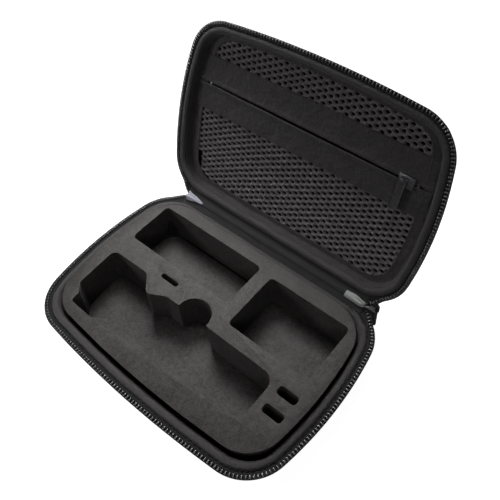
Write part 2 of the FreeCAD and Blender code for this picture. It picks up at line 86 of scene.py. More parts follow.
# ---------------------------------------------------------------- outlines and places

def outline(half_length, front, back, corner, inset=0.0, per_side=(24, 24, 60, 24, 90, 24, 60, 24)):
    """Points and outward normals of the bowed outline, anticlockwise from the back's right end."""
    half_length, front, back, corner = [v - inset for v in (half_length, front, back, corner)]
    end_bow, front_bow = END_BOW - inset, FRONT_BOW - inset
    end_x, front_y = half_length - end_bow, front_bow - front
    back_x = end_x + math.sqrt((end_bow - corner) ** 2 - (back - corner) ** 2)
    to_end, to_front = end_bow - corner, front_bow - corner
    apart = math.hypot(end_x, front_y)
    along = (to_end ** 2 - to_front ** 2 + apart ** 2) / (2 * apart)
    aside = math.sqrt(to_end ** 2 - along ** 2)
    unit_x, unit_y = -end_x / apart, front_y / apart
    corner_x = end_x + along * unit_x + aside * unit_y
    corner_y = along * unit_y - aside * unit_x
    rise = math.atan2(back - corner, back_x - end_x)
    fall = math.atan2(-corner_y, corner_x - end_x)
    lean = math.atan2(corner_x, front_y - corner_y)
    half, full = math.pi / 2, math.pi
    arcs = [((-back_x, back - corner), corner, half, full - rise),
            ((-end_x, 0), end_bow, full - rise, full + fall),
            ((-corner_x, corner_y), corner, full + fall, 3 * half - lean),
            ((0, front_y), front_bow, 3 * half - lean, 3 * half + lean),
            ((corner_x, corner_y), corner, 3 * half + lean, 2 * full - fall),
            ((end_x, 0), end_bow, -fall, rise),
            ((back_x, back - corner), corner, rise, half)]
    x = np.linspace(back_x, -back_x, per_side[0], endpoint=False)
    points = [np.column_stack([x, np.full_like(x, back)])]
    normals = [np.tile([0.0, 1.0], (len(x), 1))]
    for (centre, radius, start, end), count in zip(arcs, per_side[1:]):
        angle = np.linspace(start, end, count, endpoint=False)
        spoke = np.column_stack([np.cos(angle), np.sin(angle)])
        points.append(np.array(centre) + radius * spoke)
        normals.append(spoke)
    return np.concatenate(points), np.concatenate(normals)


class Rim:
    """The zip's outline as a path whose places are told by their distance along it."""

    def __init__(self):
        points, normals = outline(**CASE, per_side=(300, 80, 300, 80, 500, 80, 300, 80))
        points, normals = [np.concatenate([a, a[:1]]) for a in (points, normals)]
        steps = np.linalg.norm(np.diff(points, axis=0), axis=1)
        self.along = np.concatenate([[0], np.cumsum(steps)])
        self.length = self.along[-1]
        self.points, self.normals = points, normals

    def at(self, s, inset):
        """x and y at distances s along the outline, moved inwards by inset."""
        s = np.mod(s, self.length)
        x, y, nx, ny = [np.interp(s, self.along, column) for column in
                        (*self.points.T, *self.normals.T)]
        return x - nx * inset, y - ny * inset

    def span(self, end_x):
        """Start and end of the stretch that leaves out the back between -end_x and end_x."""
        left = np.argmax(self.points[:, 0] <= -end_x)
        right = len(self.points) - 1 - np.argmax(self.points[::-1, 0] > end_x)
        return self.along[left], self.along[right]

    def back_edge(self, x):
        """y of the outline's back at x."""
        back = self.points[:, 1] > CASE["back"] / 2
        x_there, y_there = self.points[back].T
        order = np.argsort(x_there)
        return np.interp(x, x_there[order], y_there[order])


RIM = Rim()


def place(x, y, depth, on_lid):
    """Row-frame points, in mm, of places given shut and by depth from the zip's plane."""
    x, y, depth = np.broadcast_arrays(x, y, depth)
    if not on_lid:
        return np.stack([x, y, ZIP_Z - depth], axis=-1)
    reach = y - HINGE_Y
    return np.stack([x, HINGE_Y + reach * math.cos(OPEN) + depth * math.sin(OPEN),
                     ZIP_Z - reach * math.sin(OPEN) + depth * math.cos(OPEN)], axis=-1)


def ripple(*phases):
    """A smooth repeatable unevenness between about -1 and 1, made of a few sines."""
    total = 0
    for rank, phase in enumerate(phases, start=1):
        total = total + np.sin(phase * 0.113 + rank) + 0.7 * np.sin(phase * 0.271 + 2 * rank)
    return total / (1.7 * len(phases))


# ---------------------------------------------------------------- meshes

def add_mesh(name, points, faces, uv=None, merge=None, closed=False):
    """A smooth mesh object from points in mm; uv holds a place in mm for each point."""
    mesh = bpy.data.meshes.new(name)
    mesh.from_pydata((np.asarray(points, float).reshape(-1, 3) * MM).tolist(), [], faces)
    if uv is not None:
        layer = mesh.uv_layers.new(name="Weave")
        loops = np.zeros(len(mesh.loops), int)
        mesh.loops.foreach_get("vertex_index", loops)
        layer.data.foreach_set("uv", np.asarray(uv, np.float32).reshape(-1, 2)[loops].ravel())
    if merge or closed:
        shape = bmesh.new()
        shape.from_mesh(mesh)
        if merge:
            bmesh.ops.remove_doubles(shape, verts=shape.verts, dist=merge * MM)
        if closed:
            bmesh.ops.recalc_face_normals(shape, faces=shape.faces)
        shape.to_mesh(mesh)
        shape.free()
    mesh.shade_smooth()
    piece = bpy.data.objects.new(name, mesh)
    bpy.context.scene.collection.objects.link(piece)
    return piece


def grid_faces(rows, columns, wrap_rows=False, wrap_columns=False):
    """Quads of a grid whose points are numbered row by row."""
    faces = []
    for row in range(rows if wrap_rows else rows - 1):
        for column in range(columns if wrap_columns else columns - 1):
            next_row, next_column = (row + 1) % rows, (column + 1) % columns
            faces.append((row * columns + column, next_row * columns + column,
                          next_row * columns + next_column, row * columns + next_column))
    return faces


def sweep(name, profile, on_lid, span=None, closed=False, step=1.0, shape=None):
    """A strip or tube whose cross-section, (inset, depth) pairs, runs along the rim."""
    whole = span is None
    start, end = span or (0, RIM.length)
    count = int((end - start) / step)
    s = np.linspace(start, end, count, endpoint=not whole)[:, None]
    inset, depth = np.array(profile, float).T
    inset, depth = np.tile(inset, (count, 1)), np.tile(depth, (count, 1))
    if shape:
        inset, depth = shape(s, inset, depth)
    x, y = RIM.at(np.broadcast_to(s, inset.shape), inset)
    points = place(x, y, depth, on_lid)
    sides = len(profile)
    faces = grid_faces(count, sides, whole, closed)
    if closed and not whole:
        faces += [tuple(range(sides)), tuple(range((count - 1) * sides, count * sides))[::-1]]
    legs = np.hypot(*np.diff(np.array(profile, float), axis=0).T)
    travel = np.concatenate([[0], np.cumsum(legs)])
    uv = np.stack(np.broadcast_arrays(s, travel[None, :]), axis=-1)
    piece = add_mesh(name, points, faces, uv, closed=closed)
    piece["strip_length"] = (end - start) * MM
    piece["strip_width"] = travel[-1] * MM
    return piece


def tube(path, radius, sides=6, axis=None):
    """Points and faces of a capped tube round a path; axis steers its section's first side."""
    path = np.asarray(path, float)
    count = len(path)
    radius = np.broadcast_to(radius, (count,))
    tangent = np.gradient(path, axis=0)
    tangent /= np.linalg.norm(tangent, axis=1)[:, None]
    guide = np.broadcast_to([0.0, 0.0, 1.0] if axis is None else axis, path.shape)
    first = np.cross(tangent, guide)
    first /= np.maximum(np.linalg.norm(first, axis=1), 1e-9)[:, None]
    second = np.cross(tangent, first)
    turn = np.linspace(0, 2 * math.pi, sides, endpoint=False)
    points = (path[:, None] + radius[:, None, None] * (np.cos(turn)[None, :, None] * first[:, None]
              + np.sin(turn)[None, :, None] * second[:, None]))
    faces = grid_faces(count, sides, wrap_columns=True)
    faces += [tuple(range(sides)), tuple(range((count - 1) * sides, count * sides))[::-1]]
    return points.reshape(-1, 3), faces


def join_parts(name, parts):
    """One piece out of many (points, faces) parts."""
    points, faces, start = [], [], 0
    for part_points, part_faces in parts:
        points.append(part_points)
        faces += [tuple(start + index for index in face) for face in part_faces]
        start += len(part_points)
    return add_mesh(name, np.concatenate(points), faces, closed=True)


def solidify(piece, wall):
    thick = piece.modifiers.new("Wall", "SOLIDIFY")
    thick.thickness = wall * MM
    thick.offset = 0
    return piece


def soft_copy(node, name, edge, segments=3, recess=None):
    """A copy of a CAD node with its sharp edges eased, and if asked its broad faces dished."""
    shape = bmesh.new()
    shape.from_mesh(frame["nodes"][node].data)
    bmesh.ops.remove_doubles(shape, verts=shape.verts, dist=1e-6)
    bmesh.ops.dissolve_limit(shape, angle_limit=math.radians(1.5), verts=shape.verts,
                             edges=shape.edges)
    if recess:
        rim, dish = recess
        shape.faces.ensure_lookup_table()
        biggest = max(face.calc_area() for face in shape.faces)
        across = max(shape.faces, key=lambda face: face.calc_area()).normal.copy()
        for way in (1, -1):
            broad = [face for face in shape.faces if face.normal.dot(across) * way > 0.999
                     and face.calc_area() > 0.02 * biggest]
            bmesh.ops.inset_region(shape, faces=broad, thickness=rim * MM, depth=-dish * MM)
    mesh = bpy.data.meshes.new(name)
    shape.to_mesh(mesh)
    shape.free()
    mesh.shade_smooth()
    piece = bpy.data.objects.new(name, mesh)
    bpy.context.scene.collection.objects.link(piece)
    ease = piece.modifiers.new("Ease", "BEVEL")
    ease.width = edge * MM
    ease.segments = segments
    ease.limit_method = "ANGLE"
    ease.angle_limit = math.radians(35)
    ease.harden_normals = True
    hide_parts(node)
    return piece


def finish_piece(piece, material, body):
    """Give a piece its material and the body that it rides on."""
    piece.data.materials.clear()
    piece.data.materials.append(material)
    if body:
        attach(piece, body)
    return piece


# ---------------------------------------------------------------- materials

def new_material(name, **sockets):
    material = bpy.data.materials.new(name)
    material.use_nodes = True
    shader = material.node_tree.nodes["Principled BSDF"]
    for socket, value in sockets.items():
        shader.inputs[socket.replace("_", " ")].default_value = value
    return material


def node(material, kind, inputs=None, **settings):
    """Add a shader node; an input given as a socket is linked, and as a value is set."""
    made = material.node_tree.nodes.new("ShaderNode" + kind)
    for name, value in settings.items():
        setattr(made, name, value)
    for name, value in (inputs or {}).items():
        if isinstance(value, bpy.types.NodeSocket):
            material.node_tree.links.new(value, made.inputs[name])
        else:
            made.inputs[name].default_value = value
    return made


def to_shader(material, **sockets):
    shader = material.node_tree.nodes["Principled BSDF"]
    for name, socket in sockets.items():
        material.node_tree.links.new(socket, shader.inputs[name.replace("_", " ")])


def math_node(material, operation, first, second=0.0):
    return node(material, "Math", {0: first, 1: second}, operation=operation).outputs[0]


def places_in_mm(material, uv=False):
    """x, y and z sockets in mm: along and across the strip with uv, else in the row frame."""
    if uv:
        vector, scale = node(material, "UVMap", uv_map="Weave").outputs["UV"], 1.0
    else:
        vector, scale = node(material, "TexCoord").outputs["Object"], 1 / MM
    scaled = node(material, "VectorMath", {0: vector, 1: (scale,) * 3}, operation="MULTIPLY")
    return scaled.outputs[0], node(material, "SeparateXYZ", {0: scaled.outputs[0]}).outputs


def thread_waves(material, value, pitch):
    """Rounded ridges that repeat every pitch millimetres."""
    turned = math_node(material, "MULTIPLY", value, math.pi / pitch)
    return math_node(material, "ABSOLUTE", math_node(material, "SINE", turned))


def noise(material, vector, scale, detail=2.0, roughness=0.5):
    made = node(material, "TexNoise", {"Vector": vector, "Scale": scale, "Detail": detail,
                                       "Roughness": roughness})
    return made.outputs["Fac"]


def ramp(material, value, stops):
    """A colour ramp from (place, grey or colour) stops."""
    made = node(material, "ValToRGB", {"Fac": value})
    elements = made.color_ramp.elements
    while len(elements) < len(stops):
        elements.new(0.5)
    for element, (where, colour) in zip(elements, stops):
        element.position = where
        element.color = (*colour, 1) if hasattr(colour, "__len__") else (colour,) * 3 + (1,)
    return made.outputs["Color"]


def bump(material, height, distance, strength=1.0):
    made = node(material, "Bump", {"Height": height, "Distance": distance * MM,
                                   "Strength": strength})
    to_shader(material, Normal=made.outputs["Normal"])


def shade(colour, factor):
    return tuple(channel * factor for channel in colour)


def cloth(name, colour, pitch, uv=False, sheen=0.25, roughness=0.9, relief=0.08, mottle=0.25,
          gloss=0.12, crease=2.0):
    """Plain-woven cloth: a grid of fine threads, slow mottling and a soft sheen."""
    material = new_material(name, Roughness=roughness, Sheen_Weight=sheen, Sheen_Roughness=0.5,
                            Specular_IOR_Level=gloss)
    vector, (x, y, z) = places_in_mm(material, uv)
    if not uv:
        x, y = math_node(material, "ADD", x, z), math_node(material, "ADD", y, z)
    sway = math_node(material, "MULTIPLY", noise(material, vector, 0.6, 2.0), 2.5)
    weft = thread_waves(material, math_node(material, "ADD", x, sway), pitch)
    warp = thread_waves(material, math_node(material, "SUBTRACT", y, sway), pitch)
    weave = math_node(material, "MULTIPLY", weft, warp)
    broad, fine = noise(material, vector, 0.12, 3.0), noise(material, vector, 0.7, 2.0)
    cloudy = math_node(material, "MULTIPLY", math_node(material, "ADD", broad, fine), 0.5)
    level = math_node(material, "ADD", math_node(material, "MULTIPLY", cloudy, 0.7),
                      math_node(material, "MULTIPLY", weave, 0.3))
    to_shader(material, Base_Color=ramp(material, level, [
        (0.2, shade(colour, 1 - mottle)), (0.8, shade(colour, 1 + mottle))]))
    creases = math_node(material, "MULTIPLY", noise(material, vector, 0.28, 3.0, 0.6), crease)
    bump(material, math_node(material, "ADD", weave, creases), relief)
    return material


def ribbed_tape(name, colour, rib=0.9):
    """Zip tape: ribs straight across it, drawn into shallow chevrons."""
    material = new_material(name, Roughness=0.72, Sheen_Weight=0.15, Sheen_Roughness=0.4,
                            Specular_IOR_Level=0.15)
    vector, (along, across, _) = places_in_mm(material, uv=True)
    chevron = math_node(material, "PINGPONG", across, 0.9)
    slant = math_node(material, "ADD", along, math_node(material, "MULTIPLY", chevron, 0.5))
    ribs = thread_waves(material, slant, rib)
    threads = thread_waves(material, across, 0.45)
    height = math_node(material, "ADD", ribs, math_node(material, "MULTIPLY", threads, 0.35))
    level = math_node(material, "ADD", math_node(material, "MULTIPLY", ribs, 0.6),
                      math_node(material, "MULTIPLY", noise(material, vector, 0.3), 0.5))
    to_shader(material, Base_Color=ramp(material, level, [
        (0.15, shade(colour, 0.55)), (0.9, shade(colour, 1.35))]))
    bump(material, height, 0.18)
    return material


def foam_material():
    """Closed-cell foam, die-cut: charcoal, with a coarse grain and a few pale specks."""
    material = new_material("foam", Roughness=0.52, Specular_IOR_Level=0.15,
                            Sheen_Weight=0.03, Sheen_Roughness=0.6)
    vector, _ = places_in_mm(material)
    grain = noise(material, vector, 1.3, 4.0, 0.7)
    coarse = noise(material, vector, 0.45, 3.0, 0.6)
    cloudy = noise(material, vector, 0.07, 2.0)
    specks = ramp(material, noise(material, vector, 1.5, 1.0), [(0.70, 0.0), (0.76, 0.5)])
    level = math_node(material, "ADD", math_node(material, "MULTIPLY", grain, 0.45),
                      math_node(material, "ADD", math_node(material, "MULTIPLY", coarse, 0.35),
                                math_node(material, "MULTIPLY", cloudy, 0.2)))
    colour = ramp(material, level, [(0.38, (0.0102, 0.0090, 0.0088)),
                                    (0.62, (0.042, 0.0372, 0.0362))])
    mixed = node(material, "Mix", {"Factor": specks, 6: colour, 7: (0.10, 0.095, 0.09, 1)},
                 data_type="RGBA")
    to_shader(material, Base_Color=mixed.outputs[2])
    bump(material, level, 0.5)
    return material


def knit_material():
    """Net of knitted threads: fine loops on thick soft bars."""
    material = new_material("net", Roughness=0.42, Sheen_Weight=0.2, Sheen_Roughness=0.4,
                            Specular_IOR_Level=0.6)
    vector, (x, y, z) = places_in_mm(material)
    loops = math_node(material, "MULTIPLY", thread_waves(material, x, 0.42),
                      thread_waves(material, math_node(material, "ADD", y, z), 0.42))
    level = math_node(material, "ADD", math_node(material, "MULTIPLY", loops, 0.5),
                      math_node(material, "MULTIPLY", noise(material, vector, 0.2), 0.5))
    to_shader(material, Base_Color=ramp(material, level, [
        (0.2, (0.037, 0.032, 0.034)), (0.8, (0.092, 0.079, 0.085))]))
    bump(material, loops, 0.1)
    return material


def hard_material(name, colour, metallic, roughness, spread=0.12, gloss=0.5):
    """Moulded plastic or lacquered metal, with faint wear in its gloss."""
    material = new_material(name, Metallic=metallic, Specular_IOR_Level=gloss)
    vector, _ = places_in_mm(material)
    wear = noise(material, vector, 0.9, 4.0, 0.6)
    to_shader(material,
              Base_Color=ramp(material, wear, [
                  (0.3, shade(colour, 0.8)), (0.7, shade(colour, 1.25))]),
              Roughness=ramp(material, wear, [
                  (0.3, roughness - spread), (0.7, roughness + spread)]))
    bump(material, noise(material, vector, 3.0, 2.0), 0.01)
    return material


SHELL_CLOTH = cloth("shell_cloth", (0.014, 0.014, 0.0145), 0.9, relief=0.12, sheen=0.12,
                    crease=3.0)
LINING_CLOTH = cloth("lining_cloth", (0.0095, 0.0080, 0.0088), 0.4, sheen=0.04)
LIP_CLOTH = cloth("lip_cloth", (0.0185, 0.0160, 0.0170), 0.45, uv=True, sheen=0.14,
                  roughness=0.55, gloss=0.3, crease=4.0)
PANEL_CLOTH = cloth("panel_cloth", (0.0168, 0.0139, 0.0158), 0.45, sheen=0.12, roughness=0.6,
                    mottle=0.9, crease=16.0, gloss=0.3)
HINGE_CLOTH = cloth("hinge_cloth", (0.013, 0.0127, 0.0135), 0.5, sheen=0.1, roughness=0.7,
                    crease=5.0)
# one pale cloth in two copies: the left one painted lighter and bluer as a painted highlight where
# the key light falls, the right one painted darker as painted shade
PALE_CLOTH_PAINTED_LIT_AND_SHADE = {"left": cloth("pale_cloth_left_painted_lit", (0.34, 0.34, 0.39), 0.7, sheen=0.1, relief=0.2),
              "right": cloth("pale_cloth_right_painted_shade", (0.24, 0.25, 0.24), 0.7, sheen=0.1, relief=0.2)}
TAPE = ribbed_tape("zip_tape", (0.009, 0.009, 0.0095))
FOAM = foam_material()
NET = knit_material()
COIL = hard_material("coil_nylon", (0.03, 0.03, 0.03), 0.0, 0.16, spread=0.04, gloss=1.0)
THREAD = cloth("thread", (0.008, 0.008, 0.008), 0.3, sheen=0.1, roughness=0.6)
DULL_METAL = hard_material("dull_metal", (0.02, 0.02, 0.021), 0.4, 0.5)
BLACK_METAL = hard_material("black_metal", (0.15, 0.15, 0.158), 1.0, 0.3, spread=0.04)


# ---------------------------------------------------------------- rims

def lip(side, on_lid):
    """The padded roll that finishes the shell's edge, puckered where it is stitched down.

    On the base it is wider along the front.
    """
    angle = np.linspace(0, 2 * math.pi, 20, endpoint=False)
    middle, half_width, half_height, middle_depth, stitch_pitch = 5.65, 2.0, 1.15, 1.45, 3.2
    profile = []
    for turn in angle:
        across = math.copysign(abs(math.cos(turn)) ** 0.8, math.cos(turn)) * half_width
        rise = math.copysign(abs(math.sin(turn)) ** 0.8, math.sin(turn)) * half_height
        inner_drop = 1.1 * max(0.0, across / half_width) ** 2
        profile.append((middle + across, middle_depth - rise + inner_drop))

    def pucker(s, inset, depth):
        outer = np.clip((5.2 - inset) / 1.6, 0, 1)
        pull = np.sin(s * 2 * math.pi / stitch_pitch)
        uneven = ripple(s, s * 1.7 + 40)
        front = 0 if on_lid else np.clip((-RIM.at(s, 0)[1] - 45) / 12, 0, 1)
        spread = 0.8 * front * np.clip((inset - 4) / 3, 0, 1)
        return (inset + spread + 0.10 * outer * pull + 0.12 * uneven,
                depth + 0.10 * outer * pull + 0.08 * uneven + 0.05)

    piece = sweep(f"{side}_padded_lip", profile, on_lid, closed=True, step=0.8, shape=pucker)
    finish_piece(piece, LIP_CLOTH, side)
    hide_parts(f"{side}_rim_lip")


def to_hinge(s, start, end, side):
    """How far the zip's edge moves in, and what share of its depth goes, at distances s.

    Along the case it hangs out a little on the base and curls in a little on the lid. Near its
    two ends both halves run out to the hinge's axis, where they meet.
    """
    flare = {"base": -0.7, "lid": 0.5}[side]
    stretch, reach_out, rise = 13, 3.4, 0.6
    near = np.clip(1 - np.minimum(s - start, end - s) / stretch, 0, 1)
    near = near * near * (3 - 2 * near)
    return flare * (1 - near) - reach_out * near, rise * near


def tape(side, on_lid):
    """Zip tape: sewn down the outside of the wall, turned out at the rim under the coil."""
    lean = math.tan(DRAFT[side])
    profile = [(3.75 + lean * drop, 2.25 + drop) for drop in np.linspace(7.0, 1.0, 7)]
    profile += [(3.65, 2.45), (3.3, 2.05), (2.6, 1.95), (1.9, 1.92), (1.2, 1.88), (0.6, 1.72),
                (0.15, 1.42), (-0.05, 1.05)]
    start, end = RIM.span(ZIP_END)

    def follow(s, inset, depth):
        outer = np.clip((3.6 - inset) / 3.2, 0, 1)
        away, drop = to_hinge(s, start, end, side)
        return inset + away * outer, depth * (1 - drop * outer) + 0.06 * ripple(s) * outer

    piece = sweep(f"{side}_tape", profile, on_lid, span=(start, end), step=1.0, shape=follow)
    solidify(piece, 0.45)
    finish_piece(piece, TAPE, side)
    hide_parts(f"{side}_zip_tape", f"{side}_tape_skirt")


def coil(side, on_lid, pitch=2.0, steps=14, sides=8):
    """A nylon coil: one flattened loop for each tooth, swollen at its head and at its heel."""
    start, end = RIM.span(ZIP_END)
    count = int((end - start) / pitch)
    middle_inset, middle_depth, half_width, half_height = 1.15, 1.08, 0.88, 0.42
    wire, head, heel, swollen = 0.32, 0.24, 0.2, 0.42
    s = (start + pitch * (0.5 + np.arange(count)))[:, None]
    t = np.linspace(0, 2 * math.pi, steps, endpoint=False)[None, :]
    away, drop = to_hinge(s, start, end, side)
    across, sink = -half_width * np.cos(t), -half_height * np.sin(t)
    radius = (wire + head * np.exp(-((t - 0.85) / swollen) ** 2)
              + heel * np.exp(-((t - 2.3) / swollen) ** 2))
    turn = np.linspace(0, 2 * math.pi, sides, endpoint=False)
    flat = np.cos(turn)[None, None, :] * radius[..., None]
    inset = (middle_inset + away)[..., None] + across[..., None] - flat * np.cos(t)[..., None]
    depth = (middle_depth - drop)[..., None] + sink[..., None] - flat * np.sin(t)[..., None]
    along = s[..., None] + np.sin(turn)[None, None, :] * radius[..., None] * 1.25
    x, y = RIM.at(np.broadcast_to(along, inset.shape), inset)
    loop = np.array(grid_faces(steps, sides, wrap_rows=True, wrap_columns=True))
    faces = (loop[None] + (np.arange(count) * steps * sides)[:, None, None]).reshape(-1, 4)
    piece = add_mesh(f"{side}_coil", place(x, y, depth, on_lid), faces.tolist(), closed=True)
    finish_piece(piece, COIL, side)
    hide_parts(f"{side}_zip_coil")


def stitch_row(name, inset, depth, on_lid, span=None, pitch=3.2, length=2.3, lift=0.35,
               radius=0.24):
    """A row of machine stitches along the rim, each one a short arch of thread."""
    start, end = span or (0, RIM.length)
    count = int((end - start) / pitch)
    t = np.linspace(0, 1, 7)
    parts = []
    for begin in start + pitch * np.arange(count):
        x, y = RIM.at(begin + t * length, inset)
        arch = place(x, y, depth - lift * np.sin(math.pi * t), on_lid)
        parts.append(tube(arch, radius * (0.55 + 0.45 * np.sin(math.pi * t))))
    return join_parts(name, parts)


def rim_pieces(side, on_lid):
    lip(side, on_lid)
    tape(side, on_lid)
    coil(side, on_lid)
    seam = stitch_row(f"{side}_lip_stitches", 3.35, 1.55, on_lid)
    finish_piece(seam, THREAD, side)
    lean = math.tan(DRAFT[side])
    for label, drop in (("upper", 1.6), ("lower", 6.0)):
        row = stitch_row(f"{side}_skirt_stitches_{label}", 3.45 + lean * drop, 2.25 + drop, on_lid,
                         span=RIM.span(ZIP_END), lift=0.0)
        finish_piece(row, THREAD, side)


# ---------------------------------------------------------------- lid pocket

def sag(x, y):
    """How far the slack pocket panel hangs back from its plane, in mm, at a place given shut."""
    sideways = np.clip(1 - (x / 78) ** 2, 0, 1)
    upper = np.sin(math.pi * np.clip((y + 52) / 30, 0, 1)) ** 2
    lower = np.sin(math.pi * np.clip((y + 14) / 60, 0, 1)) ** 2
    loose = 1 - np.exp(-((y - ZIP_LINE) / 4) ** 2)
    return (sideways * (0.5 * upper + 1.3 * lower)
            + 0.2 * loose * ripple(x * 2.1 + y * 0.6, y * 2.7 - x * 0.5)
            + 0.07 * loose * ripple(x * 6.1 - y * 9.0, y * 11.0 + x * 4.0))


def net_field(name, node_name, low_y, high_y):
    """Knitted net: oval holes on a centred lattice, between thick soft bars."""
    across, up = 7.4, 3.66  # the lattice's pitches; every second row is shifted by half
    tuck = 2.4  # how far past NET_EDGE the net is tucked under the border
    hole_x, hole_y = 1.30, 0.80
    corners = [(across * 0.3112, 0.0), (across * 0.1888, up / 2)]
    hexagon = [corners[0], corners[1], (-corners[1][0], up / 2), (-corners[0][0], 0.0),
               (-corners[1][0], -up / 2), (corners[1][0], -up / 2)]
    border = []
    for index, point in enumerate(hexagon):
        following = hexagon[(index + 1) % 6]
        border += [point, tuple((a + b) / 2 for a, b in zip(point, following))]
    border = np.array(border)
    turn = np.arctan2(border[:, 1] / hole_y, border[:, 0] / hole_x)
    hole = np.column_stack([hole_x * np.cos(turn), hole_y * np.sin(turn)])
    width = np.linalg.norm(border - hole, axis=1)
    rings = [(0.0, 0.75), (0.12, 0.25), (0.35, -0.12), (0.68, -0.34), (1.0, -0.40)]
    shapes = [hole + (border - hole) * share for share, _ in rings]
    heights = [low - 0.42 * share * (width / width.max()) ** 2 for share, low in rings]
    cell_faces = grid_faces(len(rings), 12, wrap_columns=True)
    edge, outward = outline(**NET_EDGE)
    centres = []
    columns = int(NET_LENGTH / across / 2) + 1
    for row in range(int((high_y - low_y) / (up / 2)) + 1):
        for column in range(-columns, columns + 1):
            centre = (column * across + (row % 2) * across / 2, low_y + row * up / 2)
            nearest = np.argmin(np.linalg.norm(edge - centre, axis=1))
            if (np.array(centre) - edge[nearest]) @ outward[nearest] < tuck:
                centres.append(centre)
    points, faces = [], []
    for number, centre in enumerate(centres):
        for shape, height in zip(shapes, heights):
            x, y = (shape + centre).T
            skew = x + 0.10 * (y - low_y) + 0.5 * np.sin(y * 0.11 + x * 0.03)
            rise = y + 0.35 * np.sin(x * 0.07 + y * 0.05)
            points.append(place(skew, rise, PANEL_DEPTH + 0.95 + height + sag(skew, rise), True))
        start = number * 12 * len(rings)
        faces += [tuple(start + index for index in face) for face in cell_faces]
    piece = add_mesh(name, np.concatenate(points), faces, merge=0.02)
    finish_piece(piece, NET, "lid")
    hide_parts(node_name)


def band(name, node_name, outer_y, slit_side):
    """The plain band beside the pocket's zip, its edge turned up over the coil."""
    slit = ZIP_LINE + 0.55 * slit_side
    reach = abs(outer_y - slit)
    across = np.concatenate([np.array([0, 0.25, 0.6, 1.1, 1.8, 2.8, 4.0]),
                             np.linspace(5.5, reach + NET_OVERLAP, 12)])
    along = np.linspace(-BAND_LENGTH / 2, BAND_LENGTH / 2, 140)
    x, away = np.meshgrid(along, across, indexing="ij")
    y = slit + away * slit_side
    y = y + 0.35 * slit_side * np.exp(-(away / 3) ** 2) * np.exp(-(x / 45) ** 2)
    flap = np.exp(-(away / 2.2) ** 4)
    depth = PANEL_DEPTH + 0.12 - 0.78 * flap + sag(x, y) * (1 - flap)
    depth += 0.5 * np.exp(-(away / 0.3) ** 2)
    hem = np.exp(-((away - reach) / 0.9) ** 2)
    depth -= 0.12 * hem
    piece = add_mesh(name, place(x, y, depth, True), grid_faces(len(along), len(across)))
    solidify(piece, 0.35)
    finish_piece(piece, PANEL_CLOTH, "lid")
    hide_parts(node_name)


def border_cloth():
    """The cloth strip that lines the wall under the lip and frames the net with a turned hem."""
    sizes = (16, 16, 60, 16, 90, 16, 60, 16)
    lean = math.tan(DRAFT["lid"])
    inner, _ = outline(**NET_EDGE, per_side=sizes)
    wall = [(7.15 + lean * drop, drop) for drop in (2.4, 3.4, 4.4, 5.4, 6.0)]
    wall += [(wall[-1][0] + 0.35, 6.45), (wall[-1][0] + 0.95, 6.7)]
    rows = []
    for inset, depth in wall:
        ring, _ = outline(**CASE, inset=inset, per_side=sizes)
        rows.append(np.column_stack([ring, np.full(len(ring), depth)]))
    foot, _ = outline(**CASE, inset=wall[-1][0], per_side=sizes)
    for share in (0.12, 0.25, 0.4, 0.55, 0.7, 0.8, 0.87, 0.93, 0.97, 1.0):
        ring = foot * (1 - share) + inner * share
        hem = math.exp(-((share - 0.9) / 0.1) ** 2)
        depth = (PANEL_DEPTH + 0.25 + sag(*ring.T) * share - 0.3 * hem
                 + 0.2 * math.sin(share * math.pi) * ripple(ring[:, 0] * 2.2, ring[:, 1] * 3.1))
        # one pinched crease on the hinge's side, just right of its middle
        crease = np.exp(-(((ring[:, 0] - 13) - 0.5 * (ring[:, 1] - 49)) / 1.1) ** 2
                        - ((ring[:, 1] - 49.5) / 3.0) ** 2)
        rows.append(np.column_stack([ring, depth + 1.1 * crease]))
    points = np.stack(rows, axis=1)
    piece = add_mesh("pocket_border_cloth", place(*np.moveaxis(points, -1, 0), True),
                     grid_faces(*points.shape[:2], wrap_rows=True))
    solidify(piece, 0.4)
    finish_piece(piece, PANEL_CLOTH, "lid")
    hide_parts("pocket_border")


def pocket_zip():
    """Two fine coils under the bands' edges, and the stops at their ends."""
    pitch, steps, half_length, wire = 1.2, 10, 69, 0.16
    for label, side in (("upper", -1), ("lower", 1)):
        turns = int(2 * half_length / pitch)
        t = np.linspace(0, 2 * math.pi * turns, turns * steps + 1)
        x = -half_length + pitch / (2 * math.pi) * t
        y = ZIP_LINE + side * (0.95 - 0.33 * np.cos(t))
        depth = PANEL_DEPTH - 0.25 - 0.22 * np.sin(t)
        axis = place(1.0, 0.0, 0.0, True) - place(0.0, 0.0, 0.0, True)
        points, faces = tube(place(x, y, depth, True), wire, sides=5, axis=axis)
        piece = add_mesh(f"pocket_teeth_{label}", points, faces, closed=True)
        finish_piece(piece, COIL, "lid")
        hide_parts(f"pocket_coil_{label}")
    for label in ("left", "right"):
        stop = soft_copy(f"pocket_stop_{label}", f"pocket_zip_stop_{label}", 0.2)
        finish_piece(stop, BLACK_METAL, "lid")


# ---------------------------------------------------------------- hinge

def turned(radius, degrees):
    """y and z of a place round the hinge's axis, in mm."""
    turn = math.radians(degrees)
    return HINGE_Y + radius * math.cos(turn), ZIP_Z + radius * math.sin(turn)


